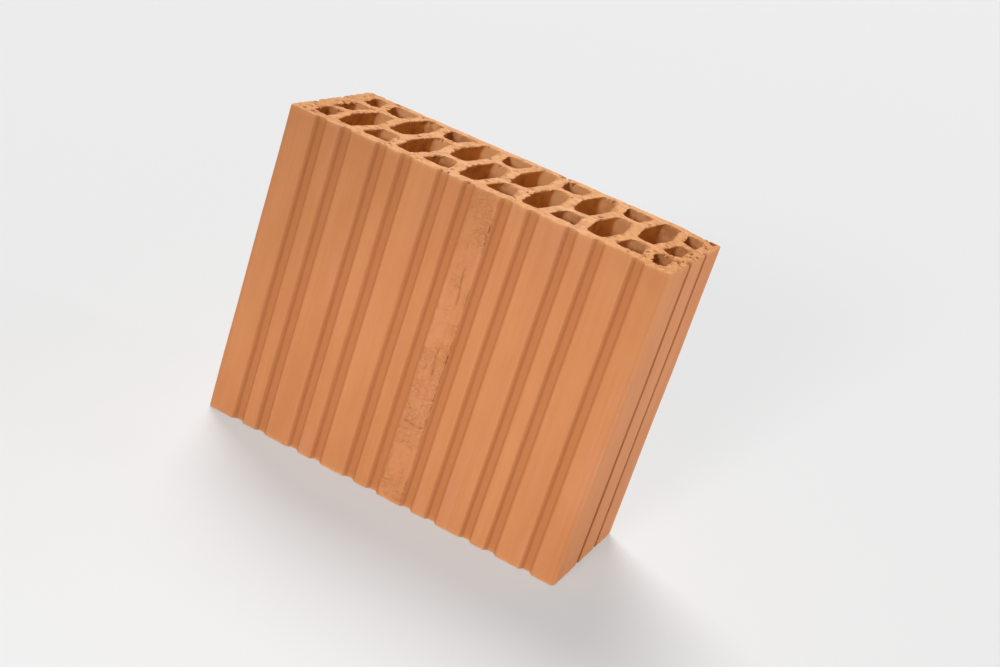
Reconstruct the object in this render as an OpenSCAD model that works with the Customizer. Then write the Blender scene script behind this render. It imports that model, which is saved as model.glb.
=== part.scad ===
// Hollow clay block for walls: one extruded and fired piece, standing on its lower bed.
// The cells run upright from bed to bed. Both faces and both ends are grooved.

/* [Block] */
// Length along the wall
block_length = 292; // [272:1:332]
// Thickness through the wall
block_depth = 115; // [110:1:135]
// Height between the two beds
block_height = 238; // [60:1:300]
// Radius of the four upright corners
corner_radius = 3; // [1:0.5:5]

/* [Walls] */
// Clay between a face and the cells behind it
face_shell = 10; // [8:0.5:11.5]
// Clay between an end and the cells behind it
end_shell = 10.5; // [8:0.5:12]
// Web between two columns of cells, along the length
web = 8.2; // [6:0.1:10]
// Web between the end cells and the next column, along the length
end_web = 7; // [5:0.1:9]
// Rib between the long and the short cell of a column
rib = 8; // [5:0.1:10]
// Rib between two end cells
end_rib = 8.5; // [5:0.1:10]
// How far a web leans to each side of its middle
web_lean = 2.2; // [0.5:0.1:3]

/* [Cells] */
// Columns of cells between the two end columns
columns = 10; // [8:2:12]
// Long six-sided cell, front to back
long_cell = 61.5; // [52:0.5:66]
// Middle end cell, front to back
end_cell = 28; // [20:1:35]
// Rounding in the corners of the cells
cell_radius = 2.2; // [0.5:0.1:3]
// Rounding at the waist of the long cells
waist_radius = 12; // [1:1:20]

/* [Face grooves] */
// Width of a groove at the face
groove_width = 10; // [7:0.1:11]
// Width of a groove at its floor
groove_floor = 4.6; // [3:0.1:6]
// Depth of a groove
groove_depth = 2.9; // [2:0.1:4.5]
// Distance between the two grooves beside a long cell
groove_spacing = 20; // [16:0.5:24]
// Rounding along the edges of a groove
groove_radius = 1.2; // [0.2:0.1:1.5]

/* [End grooves] */
// Width of a groove at the end
end_groove_width = 6; // [4:0.1:7.5]
// Width of a groove at its floor
end_groove_floor = 2; // [1:0.1:3]
// Depth of a groove
end_groove_depth = 2.4; // [1:0.1:3.2]
// Distance between the two grooves of an end
end_groove_spacing = 34; // [27:0.5:42]
// How far the two sit behind the middle on the right, and before it on the left
end_groove_shift = 4.4; // [0:0.1:8]
// Rounding along the edges of a groove
end_groove_radius = 0.6; // [0.1:0.1:0.8]

/* [Hidden] */

// Straight pieces in each rounding
arc_steps = 4;

// Columns stand one pitch apart, and the end cells take one pitch at each end
pitch = block_length / (columns + 2);
narrow = (pitch - web) / 2 - web_lean;
wide = (pitch - web) / 2 + web_lean;

// Where the cells start and end, front to back
cells_front = face_shell - block_depth / 2;
cells_back = -cells_front;
waist = cells_front + long_cell / 2;
long_back = cells_front + long_cell;
short_front = long_back + rib;
end_spans = [
    [cells_front, -end_cell / 2 - end_rib],
    [-end_cell / 2, end_cell / 2],
    [end_cell / 2 + end_rib, cells_back]
];

// Half width of a column at the places where its side bends
column_side = [
    [cells_front, narrow],
    [waist, wide],
    [long_back, narrow],
    [short_front, narrow],
    [cells_back, wide]
];

// Middle of column i, counted from the left
function column_x(i) = (i - (columns - 1) / 2) * pitch;

// Corners are [x, y, radius]
long_corners = [
    [-narrow, cells_front, cell_radius],
    [narrow, cells_front, cell_radius],
    [wide, waist, waist_radius],
    [narrow, long_back, cell_radius],
    [-narrow, long_back, cell_radius],
    [-wide, waist, waist_radius]
];

short_corners = [
    [-narrow, short_front, cell_radius],
    [narrow, short_front, cell_radius],
    [wide, cells_back, cell_radius],
    [-wide, cells_back, cell_radius]
];

// The inner side of the left end cells runs along the first column's side
end_outer = end_shell - block_length / 2;
function end_inner(y) = column_x(0) - lookup(y, column_side) - end_web;
function end_corners(span) = [
    [end_outer, span[0], cell_radius],
    [end_inner(span[0]), span[0], cell_radius],
    [end_inner(span[1]), span[1], cell_radius],
    [end_outer, span[1], cell_radius]
];

// Grooves of the front face stand beside the columns whose long cell is in front
groove_limit = block_length / 2 - corner_radius - groove_width / 2 - groove_radius;
face_grooves = [
    for (i = [0:2:columns], side = [-1, 1])
        let (x = column_x(i) + side * groove_spacing / 2)
            if (x < groove_limit) x
];
end_grooves = [
    for (side = [-1, 1]) end_groove_shift + side * end_groove_spacing / 2
];

front_face = -block_depth / 2;
right_end = block_length / 2;

function face_groove_corners(x) = [
    [x - groove_width / 2, front_face, groove_radius],
    [x - groove_floor / 2, front_face + groove_depth, groove_radius],
    [x + groove_floor / 2, front_face + groove_depth, groove_radius],
    [x + groove_width / 2, front_face, groove_radius]
];

function end_groove_corners(y) = [
    [right_end, y - end_groove_width / 2, end_groove_radius],
    [right_end - end_groove_depth, y - end_groove_floor / 2, end_groove_radius],
    [right_end - end_groove_depth, y + end_groove_floor / 2, end_groove_radius],
    [right_end, y + end_groove_width / 2, end_groove_radius]
];

// Front face and right end; the back face and left end are the same turned half round
half_outline = concat(
    [[-right_end, front_face, corner_radius]],
    [for (x = face_grooves) each face_groove_corners(x)],
    [[right_end, front_face, corner_radius]],
    [for (y = end_grooves) each end_groove_corners(y)]
);
outline = concat(half_outline, [for (c = half_outline) [-c[0], -c[1], c[2]]]);

function unit(v) = v / norm(v);
function place(corner) = [corner[0], corner[1]];

// Points of the arc that rounds corner b between corners a and c
function corner_arc(a, b, c) =
    let (
        u = unit(place(a) - place(b)),
        v = unit(place(c) - place(b)),
        half = acos(u * v) / 2,
        middle = place(b) + unit(u + v) * b[2] / sin(half),
        first = place(b) + u * b[2] / tan(half) - middle,
        last = place(b) + v * b[2] / tan(half) - middle,
        start = atan2(first[1], first[0]),
        turn = (atan2(last[1], last[0]) - start + 540) % 360 - 180
    )
    [
        for (k = [0:arc_steps])
            let (angle = start + turn * k / arc_steps)
                middle + b[2] * [cos(angle), sin(angle)]
    ];

function rounded(corners) =
    let (n = len(corners))
    [
        for (i = [0:n - 1])
            each corner_arc(corners[(i + n - 1) % n], corners[i], corners[(i + 1) % n])
    ];

module column_cells() {
    polygon(rounded(long_corners));
    polygon(rounded(short_corners));
}

module end_cells() {
    for (span = end_spans)
        polygon(rounded(end_corners(span)));
}

module cells() {
    for (i = [0:columns - 1])
        translate([column_x(i), 0])
            rotate(i % 2 * 180)
                column_cells();
    for (turn = [0, 180])
        rotate(turn)
            end_cells();
}

module clay_block() {
    color([0.83, 0.55, 0.36])
        linear_extrude(height = block_height)
            difference() {
                polygon(rounded(outline));
                cells();
            }
}

clay_block();
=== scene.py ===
"""Hollow clay block: drawn faces and torn, wire-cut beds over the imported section."""
import math
import random

import bpy
import numpy as np
from mathutils import Matrix, Vector, noise
from mathutils.geometry import delaunay_2d_cdt
from mathutils.kdtree import KDTree


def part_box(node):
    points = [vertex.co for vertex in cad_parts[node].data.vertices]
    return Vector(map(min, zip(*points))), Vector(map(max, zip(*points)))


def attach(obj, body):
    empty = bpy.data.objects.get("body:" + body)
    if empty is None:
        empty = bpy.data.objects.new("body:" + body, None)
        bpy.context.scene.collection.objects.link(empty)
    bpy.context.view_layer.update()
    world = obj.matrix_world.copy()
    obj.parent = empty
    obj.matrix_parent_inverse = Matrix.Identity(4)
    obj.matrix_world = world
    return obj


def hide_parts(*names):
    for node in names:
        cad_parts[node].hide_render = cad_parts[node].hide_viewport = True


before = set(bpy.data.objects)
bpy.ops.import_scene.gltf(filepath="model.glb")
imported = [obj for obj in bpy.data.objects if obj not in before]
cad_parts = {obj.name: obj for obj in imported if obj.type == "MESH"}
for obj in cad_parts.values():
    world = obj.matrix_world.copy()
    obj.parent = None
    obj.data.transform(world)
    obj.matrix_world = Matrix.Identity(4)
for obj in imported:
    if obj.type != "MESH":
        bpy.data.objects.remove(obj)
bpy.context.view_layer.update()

# Sizes are in mm, in the frame's axes, apart from the stage's, and colours are linear
MM = 0.001
NODE = "clay_block"
_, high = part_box(NODE)
HALF_LENGTH = high.x / MM
HALF_DEPTH = high.y / MM
HEIGHT = high.z / MM
UPPER, LOWER = 0, 1

# Mesh: length of the edges along the walls, and between the loose points of each bed
FACE_STEP = 1.1
CELL_STEP = 0.8
BED_STEP = {UPPER: 0.9, LOWER: 1.5}
ROUGH_END_STEP = {UPPER: 0.65, LOWER: 1.5}

# Loose points: seed, how far each is shaken and how far it keeps from a rim, as shares of a step
GRID_SEED = 21
SHAKE = 0.25
RIM_CLEAR = 0.5

# Limits for reading the section and joining the mesh, and the angle of an edge that stays sharp
FLAT = 0.01
KEY_DIGITS = 3
WELD = 1e-6
SHARP_ANGLE = 50

# Rings of the walls, as distances from the nearer bed
FACE_RINGS = (0, 0.4, 1, 2, 4.5, 10, 22, 40, 60, 80, 100)
FACE_LEVELS = {UPPER: FACE_RINGS, LOWER: FACE_RINGS}
CELL_LEVELS = {UPPER: (0, 0.4, 0.9, 1.7, 3, 5.5, 12), LOWER: (0, 0.8, 2.4, 12)}

# Masks that the mesh carries for the material, and where two of them start and end; back carries painted
# light, recess, pit and crack carry painted shade
MASKS = ("cut", "cell", "back", "recess", "pit", "band", "crack")
BACK_FACING = (0.3, 0.8)
RECESS_DEPTH = (0.9, 2.7)

# Layer of the noise for each kind of wear, and how much further on the lower bed's layers lie
LAYER = {
    "ragged": 0, "teeth": 30, "chips": 60, "fine teeth": 70, "teeth patches": 90,
    "wear": 200, "fine wear": 250,
    "grain": 400, "crumbs": 420, "fine grain": 440, "swell": 480, "crumb patches": 500,
    "cracks": 600, "band grain": 700, "band wear": 800,
    "pit patches": 700, "pit outlines": 900,
}
BED_LAYERS = 100

# Teeth along the rims of the cells, where the wire came out over a cell
TEETH = 2.6
TEETH_LENGTH = 2.6
TEETH_BROAD = 1.7
TEETH_FINE = 0.7
TEETH_START = 0.35
FINE_TEETH = 0.45
TEETH_PATCH = 12
TEETH_SPREAD = (-0.45, 0.3)
TEETH_REACH = 0.6
END_TEAR = 0.7
CALM_SIDE = 0.4

# Bites out of the rims, where the wire went on into the clay
RAGGED = 0.8
RAGGED_LENGTH = 5
CHIP = 6
CHIP_LENGTH = 7
CHIP_START = 0.22
TORN_BACK = 0.8
TORN_SHADE = 0.5
BITE_REACH = 1.2
CUT_REACH = 0.6
# How far the painted shade of the pits runs down the walls
PIT_REACH = 0.6

# Clay that the wire dragged over the rims of the cells: along x and y, and into their corners
WIRE_DRAG = (1.6, 0.9)
FILL_PASSES = 16
SMEAR_REACH = 2.2

# Worn arris round the outside
WEAR = 0.45
WEAR_BASE = 0.5
WEAR_BROAD = 0.7
WEAR_LENGTH = 5
WEAR_FINE = 0.5
FINE_WEAR_LENGTH = 1.6
WEAR_REACH = 0.7
# How far the pale cut colour runs down the outer walls: worn clay along the arris, with a painted
# highlight on it
WORN_EDGE_HIGHLIGHT = 1.1

# Clay that the wire dragged over the grooves of the back face, at the upper bed
DRAG_SHARE = 0.8
DRAG_REACH = 1.8
DRAG_FACING = 0.2
CORNER_CLEAR = 5

# Band of the front face that a roller pressed, half a column right of the middle: place and mesh
BAND_MIDDLE = HALF_LENGTH / 12
BAND_HALF = 9.6
BAND_EDGE = 1
BAND_STEP = 0.7
BAND_ROW = 1.2

# Relief of the band: grain, wider than it is high, in worn patches, which are higher than wide
BAND_RELIEF = 0.7
BAND_CLEAR = (1, 4)
BAND_GRAIN_LENGTH = 3
BAND_GRAIN_WIDTH = 1.6
BAND_GRAIN_SPREAD = (-0.05, 0.12)
BAND_WORN_LENGTH = 9
BAND_WORN_HEIGHT = 2
BAND_WORN_SPREAD = (-0.24, 0.04)

# Hairline cracks and the roller's seam in that band, from and to: x and z
CRACKS = (((13.4, 185), (15.4, 152)), ((13.5, 126), (14.1, 98)), ((3, 62), (22, 62.5)))
CRACK_HALF = 0.9
CRACK_DEPTH = 0.6
CRACK_TAPER = 0.2
CRACK_WAVER = 1.4
CRACK_WAVER_LENGTH = 7

# Cut beds: grain, slow swell, crumbs in patches and the drop towards the rims
BED_LEVEL = 0.2
GRAIN = 0.12
GRAIN_LENGTH = 2.6
FINE_GRAIN = 0.5
SWELL = 0.2
SWELL_LENGTH = 9
CRUMB = 0.9
CRUMB_LENGTH = 3.8
CRUMB_SHARP = 2
CRUMB_BASE = 0.5
CRUMB_PATCH = 15
CRUMB_SHARE = 0.45
CRUMB_SPREAD = (0.2, 0.5)
HOLLOW_SHADE = 0.75
CELL_RIM_DROP = 0.15
OUTER_RIM_DROP = 0.35
RIM_REACH = 0.8
DEEPEST_DROP = 5
DROP_REACH = 7

# Ends of the upper bed, which crumbled; the wire tore the right one lower too
ROUGH_END = (114, 132)
ROUGH_END_DIP = 1.5
LEFT_END = (-120, -134)
LEFT_END_SHARE = 0.65

# Pits: radius range, share of the radius that is the depth, and how many are tried on each bed
PIT_SEED = 11
PIT_RADIUS = (0.7, 1.5)
PIT_DEPTH = 1.0
PIT_TRIES = 800
END_PIT_TRIES = 60
PIT_PATCH = 13
PIT_START = 0.05
PIT_RAGGED = 1.1
PIT_RAGGED_LENGTH = 1.7
PIT_CLEAR = 2.5

# Places where a lump came away: x, y and radius
TORN_SPOTS = (
    (-133, -14, 2.6), (-131, -50.5, 2.2), (-128, -52, 1.6), (-134, -36, 2.2), (-144, 17, 2),
    (-137.5, 2, 2), (-140, 38, 1.5), (-138, -41, 1.8), (-119, 53, 1.9),
    (-94.5, 49.5, 1.9), (-76, -5, 1.8), (-61.5, 17, 1.8), (-60, 12, 1.6), (-47, 44, 1.5),
    (7, -9, 2.4), (10, -14, 1.8), (23.5, 54, 3.4), (29, 42, 2), (74.5, -4.5, 1.9), (97, -34, 1.6),
    (100, 28, 1.5), (116.5, 46.5, 1.6), (138.5, 41, 1.8), (139, 8, 1.8), (131.5, -19.5, 1.8),
    (142, -1, 1.7), (144.5, 6, 1.6), (145, -16.5, 1.8), (145, -30, 1.5), (140, 54, 3),
)
TORN_DEPTH = 0.75

# Burrs that hang from the rims into the cells: x and y
BURRS = ((-114, -17), (-92.5, 35), (-63.5, 3), (-39.5, 36), (10.5, 12.5), (62.5, -22), (88.5, 14.5))
BURR_WIDTH = 0.9
BURR_LENGTH = 2.4
BURR_OUT = 0.8

# Slow waviness of the drawn walls
WAVER = 0.28
WAVER_LENGTH = 26
WAVER_HEIGHT = 55


def wave(x, y, z, length):
    """Smooth noise from about -1 to 1, with bumps of that length."""
    return noise.noise(Vector((x, y, z)) / length)


def bed_wave(kind, x, y, bed, length):
    """Smooth noise over a bed, with a pattern of its own for each kind of wear."""
    return wave(x, y, LAYER[kind] + BED_LAYERS * bed, length)


def smooth(value, start, end):
    """0 before start, 1 after end and a soft step between them."""
    t = np.clip((value - start) / (end - start), 0, 1)
    return t * t * (3 - 2 * t)


def fade(level, reach):
    """1 at the bed, fading with the distance from it."""
    return math.exp(-level / reach)


# Section

def section_loops(node):
    """Closed outlines of the upper bed, outer one first, each with the clay on its left."""
    mesh = node.data
    edges = set()
    for face in mesh.polygons:
        corners = [mesh.vertices[i].co / MM for i in face.vertices]
        if min(c.z for c in corners) > HEIGHT - FLAT:
            keys = [(round(c.x, KEY_DIGITS), round(c.y, KEY_DIGITS)) for c in corners]
            edges.update(zip(keys, keys[1:] + keys[:1]))
    follows = {a: b for a, b in edges if (b, a) not in edges}
    loops = []
    while follows:
        loop = [min(follows)]
        while loop[-1] in follows:
            loop.append(follows.pop(loop[-1]))
        loops.append(loop[:-1])
    return loops


def split_edges(loop, step_at):
    """The loop with its long edges split into even steps, as long as is asked for at each place."""
    points = []
    for a, b in zip(loop, loop[1:] + loop[:1]):
        a, b = np.array(a), np.array(b)
        count = max(1, round(float(np.linalg.norm(b - a)) / step_at(*(a + b) / 2)))
        points += [a + (b - a) * k / count for k in range(count)]
    return np.array(points)


def void_normals(loop):
    """Unit vectors from the clay to the open side."""
    ahead = np.roll(loop, -1, axis=0) - np.roll(loop, 1, axis=0)
    normal = np.stack([ahead[:, 1], -ahead[:, 0]], axis=1)
    return normal / np.linalg.norm(normal, axis=1, keepdims=True)


# Wear of the rims

def roughness(facing):
    """1 on the side of a cell that is torn most, less on the others."""
    return CALM_SIDE + (1 - CALM_SIDE) * np.clip(facing, 0, None)


def torn_end(x):
    """How torn the upper bed is: 1 at its right end, less at its left one and 0 between them."""
    return max(smooth(x, *ROUGH_END), LEFT_END_SHARE * smooth(x, *LEFT_END))


def cell_teeth(x, y, bed):
    """Small teeth along parts of a cell's rim, as a distance back into the clay."""
    share = smooth(bed_wave("teeth patches", x, y, bed, TEETH_PATCH), *TEETH_SPREAD)
    share += END_TEAR * torn_end(x)
    broad = abs(bed_wave("teeth", x, y, bed, TEETH_LENGTH))
    fine = bed_wave("fine teeth", x, y, bed, FINE_TEETH * TEETH_LENGTH)
    return TEETH * share * (TEETH_BROAD * broad + TEETH_FINE * fine - TEETH_START)


def cell_bites(x, y, bed):
    """Broad waves and bites along a cell's rim, as a distance back into the clay."""
    bite = max(0, bed_wave("chips", x, y, bed, CHIP_LENGTH) - CHIP_START) * CHIP
    return TORN_BACK + bite + RAGGED * bed_wave("ragged", x, y, bed, RAGGED_LENGTH)


def smeared_clay(loop):
    """Clay that the wire dragged along and into the corners of a cell, as a shift of its rim."""
    filled = loop
    for _ in range(FILL_PASSES):
        filled = (np.roll(filled, 1, axis=0) + 2 * filled + np.roll(filled, -1, axis=0)) / 4
    return filled - loop + np.array(WIRE_DRAG)


def outer_wear(x, y, bed):
    """How far the outer arris is worn back."""
    broad = bed_wave("wear", x, y, bed, WEAR_LENGTH)
    fine = bed_wave("fine wear", x, y, bed, FINE_WEAR_LENGTH)
    return WEAR * (WEAR_BASE + WEAR_BROAD * broad + WEAR_FINE * fine)


def dragged_clay(loop, normal):
    """How far the clay dragged over the back grooves stands out from their floor, along +Y."""
    recess = HALF_DEPTH - loop[:, 1]
    in_groove = (normal[:, 1] > DRAG_FACING) & (np.abs(loop[:, 0]) < HALF_LENGTH - CORNER_CLEAR)
    return np.where(in_groove, DRAG_SHARE * recess, 0)


def burr_share(x, y):
    """1 in the middle of a burr, 0 beside it."""
    near = min(math.hypot(x - bx, y - by) for bx, by in BURRS)
    return max(0, 1 - (near / BURR_WIDTH) ** 2)


# Cut surface of the beds

def crumbling(x, y, bed):
    """How far the cut crumbled: 0 where the wire left it smooth, 1 where it is torn most."""
    patch = CRUMB_SHARE * smooth(bed_wave("crumb patches", x, y, bed, CRUMB_PATCH), *CRUMB_SPREAD)
    return max(patch, torn_end(x)) if bed == UPPER else patch


def grain(x, y, bed):
    """Height of the granular cut surface."""
    broad = bed_wave("grain", x, y, bed, GRAIN_LENGTH)
    fine = bed_wave("fine grain", x, y, bed, FINE_GRAIN * GRAIN_LENGTH)
    crumbs = CRUMB * (CRUMB_SHARP * abs(bed_wave("crumbs", x, y, bed, CRUMB_LENGTH)) - CRUMB_BASE)
    height = GRAIN * (broad + FINE_GRAIN * fine) + SWELL * bed_wave("swell", x, y, bed, SWELL_LENGTH)
    return height + crumbs * crumbling(x, y, bed)


def scattered_pits(bed):
    """Seeded pits in patches, as (x, y, radius, depth), closer together at the right end."""
    rng = random.Random(PIT_SEED + bed)
    pits = []
    for k in range(PIT_TRIES + END_PIT_TRIES):
        left = PIT_CLEAR - HALF_LENGTH if k < PIT_TRIES else ROUGH_END[0]
        radius = rng.uniform(*PIT_RADIUS)
        x = rng.uniform(left, HALF_LENGTH - PIT_CLEAR)
        y = rng.uniform(PIT_CLEAR - HALF_DEPTH, HALF_DEPTH - PIT_CLEAR)
        if bed_wave("pit patches", x, y, bed, PIT_PATCH) > PIT_START:
            pits.append((x, y, radius, PIT_DEPTH * radius))
    return pits


def pit_depth(points, pits):
    """Depth of the deepest pit at each point; the pits have ragged outlines."""
    layer = LAYER["pit outlines"]
    ragged = np.array([1 + PIT_RAGGED * wave(x, y, layer, PIT_RAGGED_LENGTH) for x, y in points])
    depth = np.zeros(len(points))
    for x, y, radius, deep in pits:
        away = ragged * np.hypot(points[:, 0] - x, points[:, 1] - y) / radius
        depth = np.maximum(depth, deep * np.clip(1 - away ** 2, 0, None))
    return depth


def bed_drop(points, rim_distance, by_cell, pits, bed):
    """How far the cut surface lies inside the plane of the bed, and how much shade is painted into its
    pits and hollows.
    """
    height = np.array([grain(x, y, bed) for x, y in points])
    rim_drop = np.where(by_cell, CELL_RIM_DROP, OUTER_RIM_DROP) * np.exp(-rim_distance / RIM_REACH)
    pit = pit_depth(points, pits)
    dip = ROUGH_END_DIP * smooth(points[:, 0], *ROUGH_END) if bed == UPPER else 0
    drop = np.clip(BED_LEVEL - height, 0, None) + dip + rim_drop + pit
    return np.clip(drop, 0, DEEPEST_DROP), pit + HOLLOW_SHADE * np.clip(-height, 0, None)


# Surface of the drawn walls

def pressed_band(x, y):
    """1 on the pressed band of the front face, 0 beside it."""
    return 0 if y > 0 else 1 - smooth(abs(x - BAND_MIDDLE), BAND_HALF - BAND_EDGE, BAND_HALF)


def band_relief(x, z):
    """How far the pressed band's worn grain stands out of the face."""
    grains = wave(x / BAND_GRAIN_WIDTH, LAYER["band grain"], z, BAND_GRAIN_LENGTH)
    worn = wave(x, LAYER["band wear"], z / BAND_WORN_HEIGHT, BAND_WORN_LENGTH)
    share = smooth(grains, *BAND_GRAIN_SPREAD) * smooth(worn, *BAND_WORN_SPREAD)
    return BAND_RELIEF * share * smooth(min(z, HEIGHT - z), *BAND_CLEAR)


def crack_share(x, z):
    """1 along a wavering crack or the seam of the band, 0 beside it."""
    shift = CRACK_WAVER * wave(x, LAYER["cracks"], z, CRACK_WAVER_LENGTH)
    share = 0
    for (x0, z0), (x1, z1) in CRACKS:
        length = math.hypot(x1 - x0, z1 - z0)
        along = ((x - x0) * (x1 - x0) + (z - z0) * (z1 - z0)) / length
        across = ((x - x0) * (z1 - z0) - (z - z0) * (x1 - x0)) / length + shift
        tapered = smooth(min(along, length - along), 0, CRACK_TAPER * length)
        share = max(share, tapered * (1 - smooth(abs(across), 0, CRACK_HALF)))
    return share


def waver(x, y, z):
    """Slow waviness of a wall, along x and y."""
    tall = z * WAVER_LENGTH / WAVER_HEIGHT
    return WAVER * wave(x, y, tall, WAVER_LENGTH), WAVER * wave(y, tall, x, WAVER_LENGTH)


# Block

class Block:
    """Vertices in mm, faces and the masks that the material reads."""

    def __init__(self):
        self.points = []
        self.faces = []
        self.masks = {name: [] for name in MASKS}

    def add(self, point, **masks):
        """Adds a vertex; a mask that isn't given is 0 there."""
        self.points.append(point)
        for name, values in self.masks.items():
            values.append(masks.get(name, 0))
        return len(self.points) - 1


class Rim:
    """One outline of the section, with its wear at both beds."""

    def __init__(self, loop, is_cell):
        self.is_cell = is_cell
        self.loop = split_edges(loop, self.step_at)
        self.band = [0 if is_cell else pressed_band(x, y) for x, y in self.loop]
        self.normal = void_normals(self.loop)
        self.levels = CELL_LEVELS if is_cell else FACE_LEVELS
        self.smear = smeared_clay(self.loop) if is_cell else 0 * self.loop
        self.teeth, self.bites, self.drag = {}, {}, {}
        for bed in (UPPER, LOWER):
            self.wear_at(bed)
        self.drop, self.pit, self.rings = {}, {}, {}

    def step_at(self, x, y):
        """Length of the edges along the wall near a place."""
        if self.is_cell:
            return CELL_STEP
        return BAND_STEP if pressed_band(x, y) > 0 else FACE_STEP

    def wear_at(self, bed):
        """Teeth, bites and dragged clay at each point of the rim."""
        still = np.zeros(len(self.loop))
        facing = self.normal[:, 0]
        if self.is_cell:
            self.teeth[bed] = self.along(cell_teeth, bed) * roughness(facing)
            self.bites[bed] = self.along(cell_bites, bed) * roughness(-facing)
        else:
            self.teeth[bed] = self.along(outer_wear, bed)
            self.bites[bed] = still
        is_dragged = bed == UPPER and not self.is_cell
        self.drag[bed] = dragged_clay(self.loop, self.normal) if is_dragged else still

    def along(self, wear, bed):
        """One kind of wear at each point of the rim."""
        return np.array([wear(x, y, bed) for x, y in self.loop])

    def at_bed(self, bed):
        """The rim as it is torn, in plan."""
        torn = self.loop + self.smear - self.normal * (self.teeth[bed] + self.bites[bed])[:, None]
        torn[:, 1] += self.drag[bed]
        return torn


# Walls

def wall_point(block, rim, k, bed, level):
    """Adds one vertex of a wall, at a distance from the nearer bed."""
    x, y = rim.loop[k] + fade(level, SMEAR_REACH) * rim.smear[k]
    below = level + fade(level, DROP_REACH) * rim.drop[bed][k]
    z = HEIGHT - below if bed == UPPER else below
    worn = fade(level, TEETH_REACH if rim.is_cell else WEAR_REACH)
    bite = fade(level, BITE_REACH) * rim.bites[bed][k]
    torn = min(1, max(0, bite))
    cut = max(fade(level, CUT_REACH if rim.is_cell else WORN_EDGE_HIGHLIGHT), torn)
    out = -worn * rim.teeth[bed][k] - bite
    if rim.is_cell and bed == UPPER and level < BURR_LENGTH:
        burr = burr_share(x, y)
        out += BURR_OUT * burr * (1 - level / BURR_LENGTH)
        cut = max(cut, burr)
    crack = 0
    if rim.band[k] > 0:
        crack = rim.band[k] * crack_share(x, z)
        out += rim.band[k] * band_relief(x, z) - CRACK_DEPTH * crack
    normal_x, normal_y = rim.normal[k]
    waver_x, waver_y = waver(x, y, z)
    x_out = normal_x * out + (1 - worn) * waver_x
    y_out = normal_y * out + (1 - worn) * waver_y + fade(level, DRAG_REACH) * rim.drag[bed][k]
    recess = min(HALF_DEPTH - abs(y), HALF_LENGTH - abs(x))
    # back paints light on the cell walls that face the front; recess, pit and crack paint shade in the
    # grooves, pits, torn rims and cracks
    return block.add(
        (x + x_out, y + y_out, z),
        cut=cut,
        cell=float(rim.is_cell),
        back=float(smooth(-normal_y, *BACK_FACING)),
        recess=0 if rim.is_cell else float(smooth(recess, *RECESS_DEPTH)),
        pit=fade(level, PIT_REACH) * rim.pit[bed][k] + TORN_SHADE * torn,
        band=rim.band[k],
        crack=crack,
    )


def band_rows(start, end):
    """Closer rows for the pressed band, between two rings of the wall."""
    top, bottom = [HEIGHT - level if bed == UPPER else level for bed, level in (start, end)]
    count = round((top - bottom) / BAND_ROW)
    heights = [top + (bottom - top) * k / count for k in range(1, count)]
    return [(UPPER, HEIGHT - z) if z > HEIGHT / 2 else (LOWER, z) for z in heights]


def add_strip(block, first, second):
    """Faces between two columns of vertices down a wall; one face where the columns differ in number."""
    if len(first) == len(second):
        for a, b, c, d in zip(first, first[1:], second, second[1:]):
            block.faces.append((c, a, b, d))
    else:
        block.faces.append((*first, *reversed(second)))


def add_wall(block, rim):
    """A wall from the upper bed to the lower one, facing the open side."""
    count = len(rim.loop)
    places = [(UPPER, level) for level in rim.levels[UPPER]]
    places += [(LOWER, level) for level in reversed(rim.levels[LOWER])]
    rings = [[wall_point(block, rim, k, *place) for k in range(count)] for place in places]
    for upper, lower, start, end in zip(rings, rings[1:], places, places[1:]):
        columns = []
        for k in range(count):
            rows = band_rows(start, end) if rim.band[k] > 0 else []
            columns.append([upper[k], *(wall_point(block, rim, k, *row) for row in rows), lower[k]])
        for first, second in zip(columns, columns[1:] + columns[:1]):
            add_strip(block, first, second)
    rim.rings = {UPPER: rings[0], LOWER: rings[-1]}


# Beds

def inside(points, loop):
    """Which points lie inside a closed loop, by counting crossings."""
    hit = np.zeros(len(points), bool)
    for a, b in zip(loop, np.roll(loop, -1, axis=0)):
        spans = (a[1] > points[:, 1]) != (b[1] > points[:, 1])
        if spans.any():
            x = a[0] + (points[:, 1] - a[1]) * (b[0] - a[0]) / (b[1] - a[1])
            hit ^= spans & (points[:, 0] < x)
    return hit


def in_clay(points, outlines):
    """Which points of a bed lie on clay."""
    hit = inside(points, outlines[0])
    for loop in outlines[1:]:
        hit &= ~inside(points, loop)
    return hit


def loose_grid(left, right, step, rng):
    """Shaken rows of points across the bed, between two places along it."""
    xs = np.arange(left, right, step)
    ys = np.arange(-HALF_DEPTH, HALF_DEPTH, step * math.sqrt(3) / 2)
    grid_x, grid_y = np.meshgrid(xs, ys)
    grid_x[1::2] += step / 2
    points = np.stack([grid_x.ravel(), grid_y.ravel()], axis=1)
    return points + rng.uniform(-SHAKE, SHAKE, points.shape) * step


def bed_grid(outlines, bed):
    """Loose points over the clay of a bed, how far each is from a rim, and whether that is a cell's."""
    rng = np.random.default_rng(GRID_SEED + bed)
    step = BED_STEP[bed]
    points = np.concatenate([
        loose_grid(-HALF_LENGTH, ROUGH_END[0], step, rng),
        loose_grid(ROUGH_END[0], HALF_LENGTH, ROUGH_END_STEP[bed], rng),
    ])
    points = points[in_clay(points, outlines)]
    tree = KDTree(sum(len(loop) for loop in outlines))
    for k, (x, y) in enumerate(np.concatenate(outlines)):
        tree.insert((x, y, 0), k)
    tree.balance()
    nearest = [tree.find((x, y, 0)) for x, y in points]
    distance = np.array([found[2] for found in nearest])
    by_cell = np.array([found[1] >= len(outlines[0]) for found in nearest])
    clear = distance > RIM_CLEAR * step
    return points[clear], distance[clear], by_cell[clear]


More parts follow.
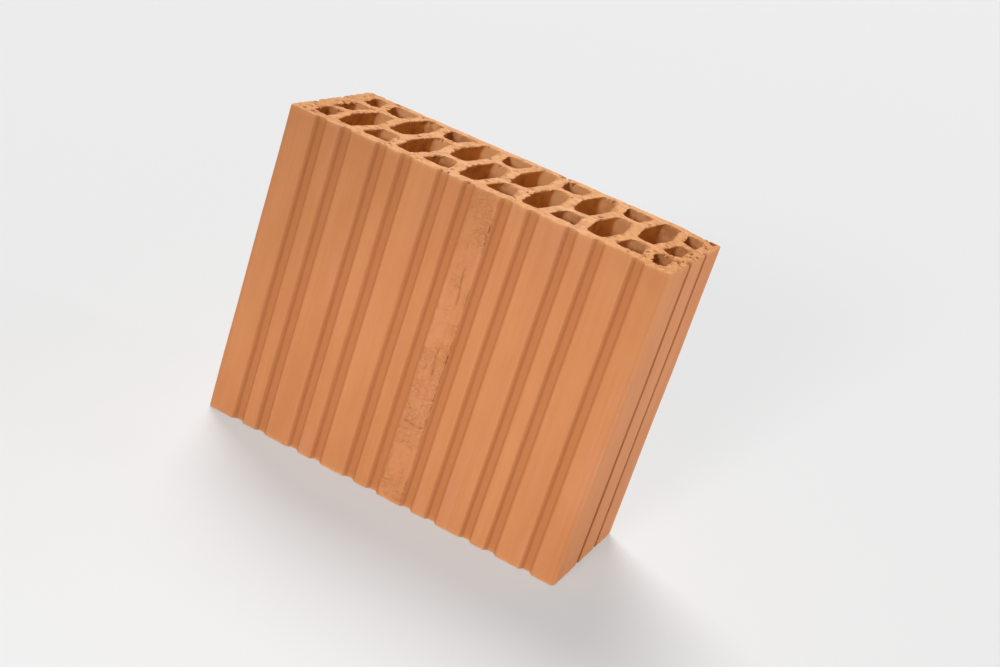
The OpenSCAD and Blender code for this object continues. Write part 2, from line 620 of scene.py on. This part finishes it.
def bed_triangles(outlines, loose):
    """Triangles over the clay of a bed; indices run through the outlines, then the loose points."""
    rim_points = np.concatenate(outlines)
    points = np.concatenate([rim_points, loose])
    edges = []
    for loop in outlines:
        first = len(edges)
        edges += [(first + k, first + (k + 1) % len(loop)) for k in range(len(loop))]
    found = delaunay_2d_cdt([Vector(p) for p in points], edges, [], 0, WELD)
    source = [origin[0] for origin in found[3]]
    triangles = np.array([[source[i] for i in face] for face in found[2]])
    middles = points[triangles].mean(axis=1)
    only_rim = (triangles < len(rim_points)).all(axis=1)
    keep = ~only_rim
    keep[only_rim] = in_clay(middles[only_rim], outlines)
    return triangles[keep]


def add_bed(block, rims, bed, loose, drop, pit):
    """Covers one bed between the rims."""
    outlines = [rim.at_bed(bed) for rim in rims]
    index = [i for rim in rims for i in rim.rings[bed]]
    for (x, y), d, p in zip(loose, drop, pit):
        z = HEIGHT - d if bed == UPPER else d
        # pit paints shade into the pits and hollows of the bed
        index.append(block.add((x, y, z), cut=1, pit=p))
    for a, b, c in bed_triangles(outlines, loose):
        if bed == LOWER:
            b, c = c, b
        block.faces.append((index[a], index[b], index[c]))


def build_block(node):
    """The whole block as one closed mesh."""
    loops = section_loops(node)
    rims = [Rim(loop, is_cell=k > 0) for k, loop in enumerate(loops)]
    torn = [(x, y, radius, TORN_DEPTH * radius) for x, y, radius in TORN_SPOTS]
    beds = {}
    for bed in (UPPER, LOWER):
        pits = scattered_pits(bed) + (torn if bed == UPPER else [])
        outlines = [rim.at_bed(bed) for rim in rims]
        for rim, outline in zip(rims, outlines):
            rim.drop[bed], rim.pit[bed] = bed_drop(outline, 0, rim.is_cell, pits, bed)
        loose, distance, by_cell = bed_grid(outlines, bed)
        beds[bed] = (loose, *bed_drop(loose, distance, by_cell, pits, bed))
    block = Block()
    for rim in rims:
        add_wall(block, rim)
    for bed, (loose, drop, pit) in beds.items():
        add_bed(block, rims, bed, loose, drop, pit)
    return block


def new_object(name, data):
    """A new object in the scene."""
    obj = bpy.data.objects.new(name, data)
    bpy.context.scene.collection.objects.link(obj)
    return obj


def block_object(block, name, material):
    """Mesh object in metres, with the masks as attributes."""
    mesh = bpy.data.meshes.new(name)
    mesh.from_pydata([Vector(p) * MM for p in block.points], [], block.faces)
    for mask, values in block.masks.items():
        attribute = mesh.attributes.new(mask, "FLOAT", "POINT")
        attribute.data.foreach_set("value", np.array(values, np.float32))
    mesh.materials.append(material)
    mesh.shade_smooth()
    mesh.set_sharp_from_angle(angle=math.radians(SHARP_ANGLE))
    return new_object(name, mesh)


# Materials

DRAWN_PALE = (0.68, 0.268, 0.102, 1)
DRAWN_DEEP = (0.63, 0.238, 0.086, 1)
DRAWN_PINK = (0.68, 0.272, 0.130, 1)
# Painted shade in the grooves and on their walls; the first of these also darkens the drawn streaks
STREAK_AND_GROOVE_SHADE = (0.51, 0.183, 0.060, 1)
GROOVE_WALL_SHADE = (0.43, 0.130, 0.030, 1)
# Cell walls, with a paler copy as painted light on the walls that face the front, and a darker tone for
# spots and towards the right end
CELL = (0.78, 0.375, 0.100, 1)
CELL_LIT = (0.80, 0.42, 0.180, 1)
CELL_DARK = (0.42, 0.150, 0.045, 1)
CUT_PALE = (0.87, 0.415, 0.170, 1)
CUT_PINK = (0.89, 0.455, 0.220, 1)
CUT_DEEP = (0.66, 0.285, 0.100, 1)
CUT_ORANGE = (0.80, 0.355, 0.130, 1)
# Painted shade for pits, hollows, torn rims and cracks
PAINTED_SHADE = (0.40, 0.135, 0.033, 1)
WHITE = (1, 1, 1, 1)

# Shares of one colour that are laid over another
PINK_SHARE = 0.5
STREAK_SHARE = 0.14
GROOVE_SHADE_SHARE = 0.9
GROOVE_WALL_SHADE_SHARE = 0.6
CRACK_SHADE_SHARE = 0.75
RIGHT_DARK_SHARE = 0.45
DARK_SPOT_SHARE = 0.65
FINE_SHARE = 0.5

# Patterns: length in mm, the part of the noise that is spread from 0 to 1, and stretch along each axis
MOTTLE = {"length": 30, "spread": (0.36, 0.64), "stretch": (1, 1, 3)}
PINK = {"length": 24, "spread": (0.52, 0.70), "stretch": (1, 1, 4)}
STREAK = {"length": 2.2, "spread": (0.35, 0.65), "stretch": (1, 1, 60), "detail": 4}
STAIN = {"length": 7, "spread": (0.44, 0.60)}
STAIN_PATCH = {"length": 38, "spread": (0.46, 0.60)}
PINK_PATCH = {"length": 40, "spread": (0.40, 0.60)}
SPECK = {"length": 4, "spread": (0.36, 0.60), "stretch": (1.4, 1, 1)}
FINE = {"length": 1.1, "spread": (0.40, 0.60)}
PRESSED = {"length": BAND_GRAIN_LENGTH, "spread": (0.42, 0.60), "stretch": (BAND_GRAIN_WIDTH, 1, 1)}
WORN = {
    "length": BAND_WORN_LENGTH,
    "spread": (0.38, 0.52),
    "stretch": (1, 1, BAND_WORN_HEIGHT),
    "detail": 1,
}
NOISE_ROUGHNESS = 0.55

# Where the colour of the ends and of the right part starts, as a share of half the length
ENDS_START = 0.55
RIGHT_START = -0.2

# Fine relief of the skin, with heights in mm, and its sheen
DENT_STRENGTH = 0.9
DENT_HEIGHT = 0.8
SKIN_STRENGTH = 0.6
SKIN_HEIGHT = 0.25
STREAK_RELIEF = 0.35
CLAY_ROUGHNESS = (0.72, 0.84)
CLAY_SHEEN = 0.3


class Tree:
    """Short calls for the nodes of a material or a world."""

    def __init__(self, owner):
        owner.use_nodes = True
        self.tree = owner.node_tree
        self.shader = self.tree.nodes.get("Principled BSDF")

    def fill(self, node, sockets):
        """Links or sets inputs of a node."""
        for name, value in sockets.items():
            if isinstance(value, bpy.types.NodeSocket):
                self.tree.links.new(value, node.inputs[name])
            else:
                node.inputs[name].default_value = value

    def node(self, kind, sockets, **settings):
        """A new node with its inputs and settings."""
        made = self.tree.nodes.new(kind)
        for name, value in settings.items():
            setattr(made, name, value)
        self.fill(made, sockets)
        return made

    def math(self, operation, a, b):
        """Sum, product or the like of two values, held between 0 and 1."""
        return self.node("ShaderNodeMath", {0: a, 1: b}, operation=operation, use_clamp=True).outputs[0]

    def spread(self, value, low, high):
        """0 at low, 1 at high and even between them."""
        ends = {"Value": value, "From Min": low, "From Max": high}
        return self.node("ShaderNodeMapRange", ends).outputs["Result"]

    def mix(self, share, a, b):
        """Colour a where share is 0, colour b where it is 1; 6 and 7 are the node's colour inputs."""
        return self.node("ShaderNodeMix", {0: share, 6: a, 7: b}, data_type="RGBA").outputs[2]

    def tint(self, colour, mask, share, over):
        """A colour with a share of another laid over it where the mask is 1."""
        return self.mix(self.math("MULTIPLY", mask, share), colour, over)

    def bump(self, height, strength, distance, **sockets):
        """Normals tilted by a height, which is worth that many mm where it is 1."""
        relief = {"Height": height, "Strength": strength, "Distance": distance * MM, **sockets}
        return self.node("ShaderNodeBump", relief).outputs["Normal"]

    def mask(self, name):
        """One of the masks that the mesh carries."""
        return self.node("ShaderNodeAttribute", {}, attribute_name=name).outputs["Fac"]

    def place(self):
        """The object's own coordinates, in metres."""
        return self.node("ShaderNodeTexCoord", {}).outputs["Object"]

    def noise(self, length, spread, stretch=(1, 1, 1), detail=3):
        """Noise with patches of that length in mm, longer by the stretch along each axis."""
        scale = [1 / (MM * s) for s in stretch]
        where = self.node("ShaderNodeMapping", {"Vector": self.place(), "Scale": scale}).outputs["Vector"]
        pattern = {"Vector": where, "Scale": 1 / length, "Detail": detail, "Roughness": NOISE_ROUGHNESS}
        return self.spread(self.node("ShaderNodeTexNoise", pattern).outputs["Fac"], *spread)

    def along_block(self):
        """Place along the block as a share of half its length, 0 at its middle."""
        x = self.node("ShaderNodeSeparateXYZ", {"Vector": self.place()}).outputs["X"]
        half = {0: x, 1: HALF_LENGTH * MM}
        return self.node("ShaderNodeMath", half, operation="DIVIDE").outputs[0]

    def ends(self):
        """0 over the middle of the block, 1 at its two ends."""
        away = self.node("ShaderNodeMath", {0: self.along_block()}, operation="ABSOLUTE").outputs[0]
        return self.spread(away, ENDS_START, 1)

    def rightward(self):
        """0 over the left part of the block, rising to 1 at its right end."""
        return self.spread(self.along_block(), RIGHT_START, 1)

    def seen(self):
        """1 for the rays that see a surface, 0 for those that carry its light to others."""
        path = self.node("ShaderNodeLightPath", {}).outputs
        direct = self.math("ADD", path["Is Camera Ray"], path["Is Glossy Ray"])
        return self.math("ADD", direct, path["Is Transmission Ray"])


def drawn_colour(tree, streak):
    """Clay that was drawn through the die, with painted shade in the grooves, more on their walls, and in
    the cracks.
    """
    recess = tree.mask("recess")
    groove_wall_shade = tree.math("MULTIPLY", recess, tree.math("SUBTRACT", 1, recess))
    colour = tree.mix(tree.noise(**MOTTLE), DRAWN_DEEP, DRAWN_PALE)
    colour = tree.tint(colour, tree.noise(**PINK), PINK_SHARE, DRAWN_PINK)
    colour = tree.tint(colour, streak, STREAK_SHARE, STREAK_AND_GROOVE_SHADE)
    # Painted shade in the grooves, and more on their walls
    colour = tree.tint(colour, recess, GROOVE_SHADE_SHARE, STREAK_AND_GROOVE_SHADE)
    colour = tree.tint(colour, groove_wall_shade, GROOVE_WALL_SHADE_SHARE, GROOVE_WALL_SHADE)
    # Painted shade in the cracks and the band's seam
    return tree.tint(colour, tree.mask("crack"), CRACK_SHADE_SHARE, PAINTED_SHADE)


def cell_colour(tree):
    """Walls of the cells: paler as painted light at the back of each cell, where they face the front, and
    those walls darker towards the right end; stained in patches, and with darker spots all over towards
    both ends.
    """
    back = tree.tint(CELL_LIT, tree.rightward(), RIGHT_DARK_SHARE, CELL_DARK)
    # Painted light: the walls at the back of each cell, which face the front, are paler
    colour = tree.mix(tree.mask("back"), CELL, back)
    patches = tree.math("MAXIMUM", tree.noise(**STAIN_PATCH), tree.ends())
    dark_spots = tree.math("MULTIPLY", tree.noise(**STAIN), patches)
    return tree.tint(colour, dark_spots, DARK_SPOT_SHARE, CELL_DARK)


def cut_colour(tree, fine):
    """Grains of the cut beds: pale among deep ones, and more orange towards the ends."""
    pale = tree.mix(tree.noise(**PINK_PATCH), CUT_PALE, CUT_PINK)
    pale = tree.mix(tree.ends(), pale, CUT_ORANGE)
    colour = tree.mix(tree.noise(**SPECK), CUT_DEEP, pale)
    return tree.tint(colour, fine, FINE_SHARE, pale)


def skin_normal(tree, streak, fine):
    """Finest relief: grain in the pressed band, streaks where drawn and grains where cut."""
    pressed = tree.math("MULTIPLY", tree.mask("band"), tree.noise(**PRESSED))
    pressed = tree.math("MULTIPLY", pressed, tree.noise(**WORN))
    dented = tree.bump(pressed, DENT_STRENGTH, DENT_HEIGHT)
    streaks = tree.math("MULTIPLY", streak, STREAK_RELIEF)
    skin = tree.mix(tree.mask("cut"), streaks, fine)
    return tree.bump(skin, SKIN_STRENGTH, SKIN_HEIGHT, Normal=dented)


def clay_material():
    """Fired clay: streaked where it was drawn through the die, granular where it was cut."""
    material = bpy.data.materials.new("fired_clay")
    tree = Tree(material)
    streak, fine = tree.noise(**STREAK), tree.noise(**FINE)
    colour = tree.mix(tree.mask("cell"), drawn_colour(tree, streak), cell_colour(tree))
    colour = tree.mix(tree.mask("cut"), colour, cut_colour(tree, fine))
    # Painted shade in the pits, hollows and torn rims
    colour = tree.mix(tree.mask("pit"), colour, PAINTED_SHADE)
    smoothest, roughest = CLAY_ROUGHNESS
    rough = tree.node("ShaderNodeMapRange", {"Value": streak, "To Min": smoothest, "To Max": roughest})
    tree.fill(tree.shader, {
        "Base Color": colour,
        "Roughness": rough.outputs["Result"],
        "Normal": skin_normal(tree, streak, fine),
        "Specular IOR Level": CLAY_SHEEN,
    })
    return material


# Stage, in metres and degrees

FLOOR_HALF = 60
FLOOR_COLOUR = (0.40, 0.40, 0.40, 1)
FLOOR_GLOW = (0.42, 0.42, 0.42, 1)
FLOOR_ROUGHNESS = 0.9
FLOOR_SHEEN = 0.1
WORLD_LEVEL = 0.08
BACKDROP = (0.87, 0.87, 0.87, 1)
SUN_DISTANCE = 3
SPOT_RADIUS = 0.08
CAMERA_PLACE = Vector((0.3597, -0.9698, 0.5065))
CAMERA_TARGET = Vector((0.0287, 0.0097, 0.1251))
CAMERA_ROLL = 18.79

# Lens and sensor, in mm
FOCAL_LENGTH = 55.48
SENSOR_WIDTH = 36


def add_floor():
    """Floor that reaches past the frame; its glow is seen, but lights nothing."""
    mesh = bpy.data.meshes.new("floor")
    corners = [(-1, -1), (1, -1), (1, 1), (-1, 1)]
    mesh.from_pydata([(FLOOR_HALF * x, FLOOR_HALF * y, 0) for x, y in corners], [], [(0, 1, 2, 3)])
    material = bpy.data.materials.new("floor")
    tree = Tree(material)
    tree.fill(tree.shader, {
        "Base Color": FLOOR_COLOUR,
        "Roughness": FLOOR_ROUGHNESS,
        "Specular IOR Level": FLOOR_SHEEN,
        "Emission Color": FLOOR_GLOW,
        "Emission Strength": tree.seen(),
    })
    mesh.materials.append(material)
    floor = new_object("floor", mesh)


def add_world():
    """Dim soft light all round; the backdrop itself is seen as pale as the floor."""
    world = bpy.data.worlds.new("studio")
    tree = Tree(world)
    light = tree.tree.nodes["Background"]
    tree.fill(light, {"Color": WHITE, "Strength": WORLD_LEVEL})
    backdrop = tree.node("ShaderNodeBackground", {"Color": BACKDROP, "Strength": 1})
    shown = {0: tree.seen(), 1: light.outputs[0], 2: backdrop.outputs[0]}
    mixed = tree.node("ShaderNodeMixShader", shown).outputs[0]
    tree.fill(tree.tree.nodes["World Output"], {"Surface": mixed})
    bpy.context.scene.world = world


def add_sun(name, azimuth, elevation, strength, spread):
    """Soft light from far off. Azimuth 0 stands before the front face, 90 at the right end."""
    light = bpy.data.lights.new(name, "SUN")
    light.energy = strength
    light.angle = math.radians(spread)
    turn, rise = math.radians(azimuth), math.radians(elevation)
    source = Vector((math.sin(turn) * math.cos(rise), -math.cos(turn) * math.cos(rise), math.sin(rise)))
    lamp = new_object(name, light)
    lamp.rotation_euler = source.to_track_quat("Z", "Y").to_euler()
    lamp.location = source * SUN_DISTANCE


def add_spot(name, place, target, cone, power):
    """Soft spot: brightest at its target and fading to nothing at the edge of its cone."""
    light = bpy.data.lights.new(name, "SPOT")
    light.energy = power
    light.spot_size = math.radians(cone)
    light.spot_blend = 1
    light.shadow_soft_size = SPOT_RADIUS
    lamp = new_object(name, light)
    lamp.location = place
    lamp.rotation_euler = (Vector(place) - Vector(target)).to_track_quat("Z", "Y").to_euler()


def add_lights():
    """Plain studio light from the front, from above and low from the right."""
    add_sun("key", azimuth=-2, elevation=14, strength=1.30, spread=10)
    add_sun("top", azimuth=-138, elevation=55, strength=3.0, spread=30)
    add_spot("front", place=(0, -1.5, 0.24), target=(0.10, -0.06, -0.03), cone=34, power=36.5)
    add_sun("side", azimuth=114, elevation=0.5, strength=3.55, spread=9)


def add_camera():
    """Camera at the photograph's place, rolled as the photograph is."""
    view = (CAMERA_TARGET - CAMERA_PLACE).normalized()
    right = view.cross(Vector((0, 0, 1))).normalized()
    up = right.cross(view)
    level = Matrix((right, up, -view)).transposed()
    turned = level @ Matrix.Rotation(math.radians(CAMERA_ROLL), 3, "Z")
    data = bpy.data.cameras.new("camera")
    data.sensor_width = SENSOR_WIDTH
    data.lens = FOCAL_LENGTH
    camera = new_object("camera", data)
    camera.matrix_world = Matrix.Translation(CAMERA_PLACE) @ turned.to_4x4()
    bpy.context.scene.camera = camera


block = block_object(build_block(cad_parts[NODE]), "fired_clay_block", clay_material())
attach(block, "root")
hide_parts(NODE)
add_floor()
add_world()
add_lights()
add_camera()
bpy.context.scene.view_settings.view_transform = "Standard"
